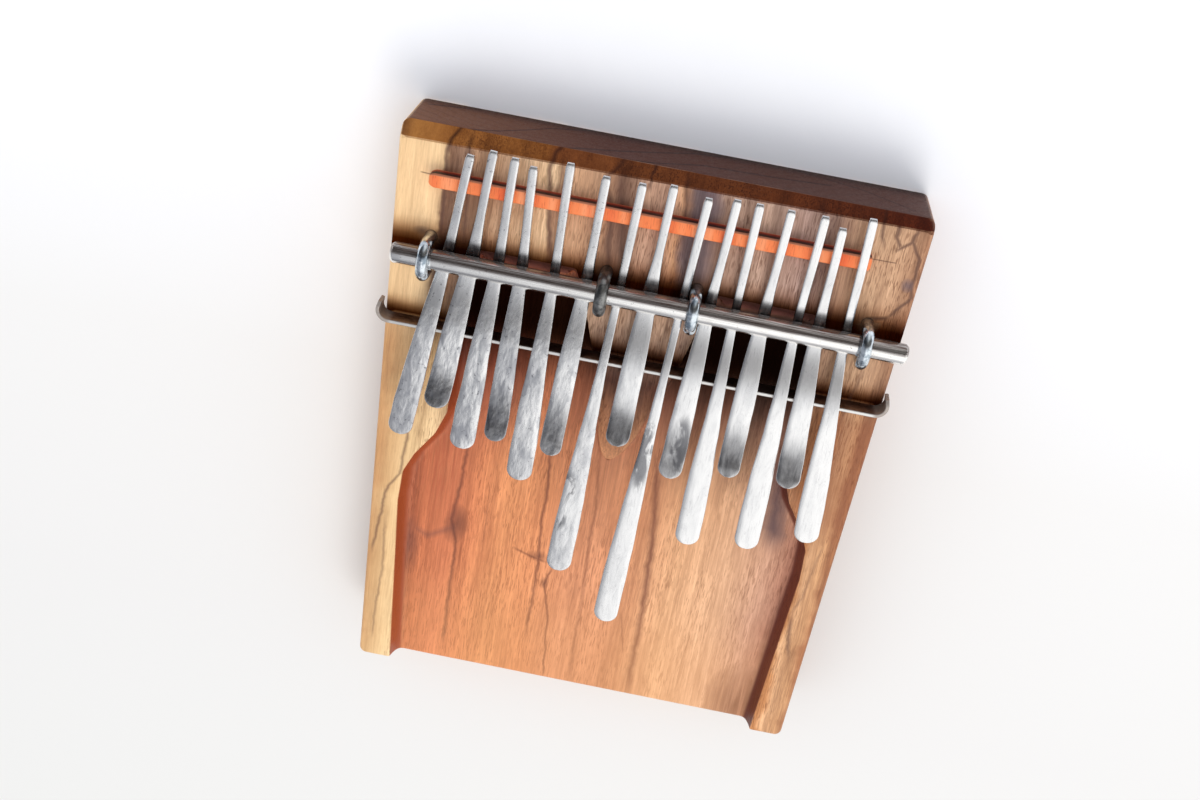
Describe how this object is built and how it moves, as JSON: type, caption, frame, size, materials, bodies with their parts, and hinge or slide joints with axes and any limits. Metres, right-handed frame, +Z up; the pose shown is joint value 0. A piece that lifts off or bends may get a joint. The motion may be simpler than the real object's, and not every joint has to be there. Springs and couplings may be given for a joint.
{
  "type": "mbira",
  "caption": "Hollowed wooden soundboard with forged steel tines held over two bridges by a round pressure bar and U-bolts.",
  "frame": {"origin": "centre of the soundboard underside", "axes": "+Z up out of the tines, +Y away from the player towards the back bridge, +X to the right"},
  "size_m": [0.1703, 0.201, 0.052],
  "materials": {
    "board_wood": "oiled two-tone hardwood, tan sapwood and red-orange heartwood",
    "orange_wood": "reddish-orange hardwood strip",
    "bridge_steel": "bare steel strip, bright top edge",
    "bar_steel": "drawn round rod, lightly marked",
    "zinc_steel": "bright zinc plate",
    "dull_steel": "dull grey plain steel",
    "tine_steel": "hammered and ground spring steel, blue-grey mottle"
  },
  "bodies": {
    "soundboard_group": {"soundboard": "board_wood", "back_bridge": "orange_wood", "front_bridge": "bridge_steel", "pressure_bar": "bar_steel", "u_bolt_1": "zinc_steel", "u_bolt_2": "dull_steel", "u_bolt_3": "zinc_steel", "u_bolt_4": "zinc_steel", "washers": "zinc_steel", "nuts": "zinc_steel"},
    "key_01": {"tine_01": "tine_steel"},
    "key_02": {"tine_02": "tine_steel"},
    "key_03": {"tine_03": "tine_steel"},
    "key_04": {"tine_04": "tine_steel"},
    "key_05": {"tine_05": "tine_steel"},
    "key_06": {"tine_06": "tine_steel"},
    "key_07": {"tine_07": "tine_steel"},
    "key_08": {"tine_08": "tine_steel"},
    "key_09": {"tine_09": "tine_steel"},
    "key_10": {"tine_10": "tine_steel"},
    "key_11": {"tine_11": "tine_steel"},
    "key_12": {"tine_12": "tine_steel"},
    "key_13": {"tine_13": "tine_steel"},
    "key_14": {"tine_14": "tine_steel"},
    "key_15": {"tine_15": "tine_steel"}
  },
  "joints": [
    {"name": "tine_01_pluck", "type": "hinge", "parent": "soundboard_group", "child": "key_01", "pos_m": [-0.06744, 0.035, 0.0375], "axis": [0.9935, -0.1142, 0], "range_deg": [0, 1.2], "stiffness_Nm_per_rad": 0.05},
    {"name": "tine_02_pluck", "type": "hinge", "parent": "soundboard_group", "child": "key_02", "pos_m": [-0.05853, 0.035, 0.0375], "axis": [0.9968, -0.0794, 0], "range_deg": [0, 1.2], "stiffness_Nm_per_rad": 0.05},
    {"name": "tine_03_pluck", "type": "hinge", "parent": "soundboard_group", "child": "key_03", "pos_m": [-0.04886, 0.035, 0.0375], "axis": [0.9993, -0.0362, 0], "range_deg": [0, 1.2], "stiffness_Nm_per_rad": 0.05},
    {"name": "tine_04_pluck", "type": "hinge", "parent": "soundboard_group", "child": "key_04", "pos_m": [-0.03984, 0.035, 0.0375], "axis": [0.9999, 0.0142, 0], "range_deg": [0, 1.2], "stiffness_Nm_per_rad": 0.05},
    {"name": "tine_05_pluck", "type": "hinge", "parent": "soundboard_group", "child": "key_05", "pos_m": [-0.02962, 0.035, 0.0375], "axis": [1, -0.0019, 0], "range_deg": [0, 1.2], "stiffness_Nm_per_rad": 0.05},
    {"name": "tine_06_pluck", "type": "hinge", "parent": "soundboard_group", "child": "key_06", "pos_m": [-0.01985, 0.035, 0.0375], "axis": [0.9996, -0.0298, 0], "range_deg": [0, 1.2], "stiffness_Nm_per_rad": 0.05},
    {"name": "tine_07_pluck", "type": "hinge", "parent": "soundboard_group", "child": "key_07", "pos_m": [-0.00891, 0.035, 0.0375], "axis": [0.9994, -0.0356, 0], "range_deg": [0, 1.2], "stiffness_Nm_per_rad": 0.05},
    {"name": "tine_08_pluck", "type": "hinge", "parent": "soundboard_group", "child": "key_08", "pos_m": [0.00088, 0.035, 0.0375], "axis": [0.9995, -0.0319, 0], "range_deg": [0, 1.2], "stiffness_Nm_per_rad": 0.05},
    {"name": "tine_09_pluck", "type": "hinge", "parent": "soundboard_group", "child": "key_09", "pos_m": [0.0113, 0.035, 0.0375], "axis": [0.999, -0.0457, 0], "range_deg": [0, 1.2], "stiffness_Nm_per_rad": 0.05},
    {"name": "tine_10_pluck", "type": "hinge", "parent": "soundboard_group", "child": "key_10", "pos_m": [0.02028, 0.035, 0.0375], "axis": [0.9992, -0.0403, 0], "range_deg": [0, 1.2], "stiffness_Nm_per_rad": 0.05},
    {"name": "tine_11_pluck", "type": "hinge", "parent": "soundboard_group", "child": "key_11", "pos_m": [0.02948, 0.035, 0.0375], "axis": [1, -0.0051, 0], "range_deg": [0, 1.2], "stiffness_Nm_per_rad": 0.05},
    {"name": "tine_12_pluck", "type": "hinge", "parent": "soundboard_group", "child": "key_12", "pos_m": [0.03821, 0.035, 0.0375], "axis": [0.9998, -0.0222, 0], "range_deg": [0, 1.2], "stiffness_Nm_per_rad": 0.05},
    {"name": "tine_13_pluck", "type": "hinge", "parent": "soundboard_group", "child": "key_13", "pos_m": [0.04928, 0.035, 0.0375], "axis": [0.9999, -0.0131, 0], "range_deg": [0, 1.2], "stiffness_Nm_per_rad": 0.05},
    {"name": "tine_14_pluck", "type": "hinge", "parent": "soundboard_group", "child": "key_14", "pos_m": [0.05692, 0.035, 0.0375], "axis": [0.9999, 0.0138, 0], "range_deg": [0, 1.2], "stiffness_Nm_per_rad": 0.05},
    {"name": "tine_15_pluck", "type": "hinge", "parent": "soundboard_group", "child": "key_15", "pos_m": [0.06621, 0.035, 0.0375], "axis": [0.9996, 0.028, 0], "range_deg": [0, 1.2], "stiffness_Nm_per_rad": 0.05}
  ]
}
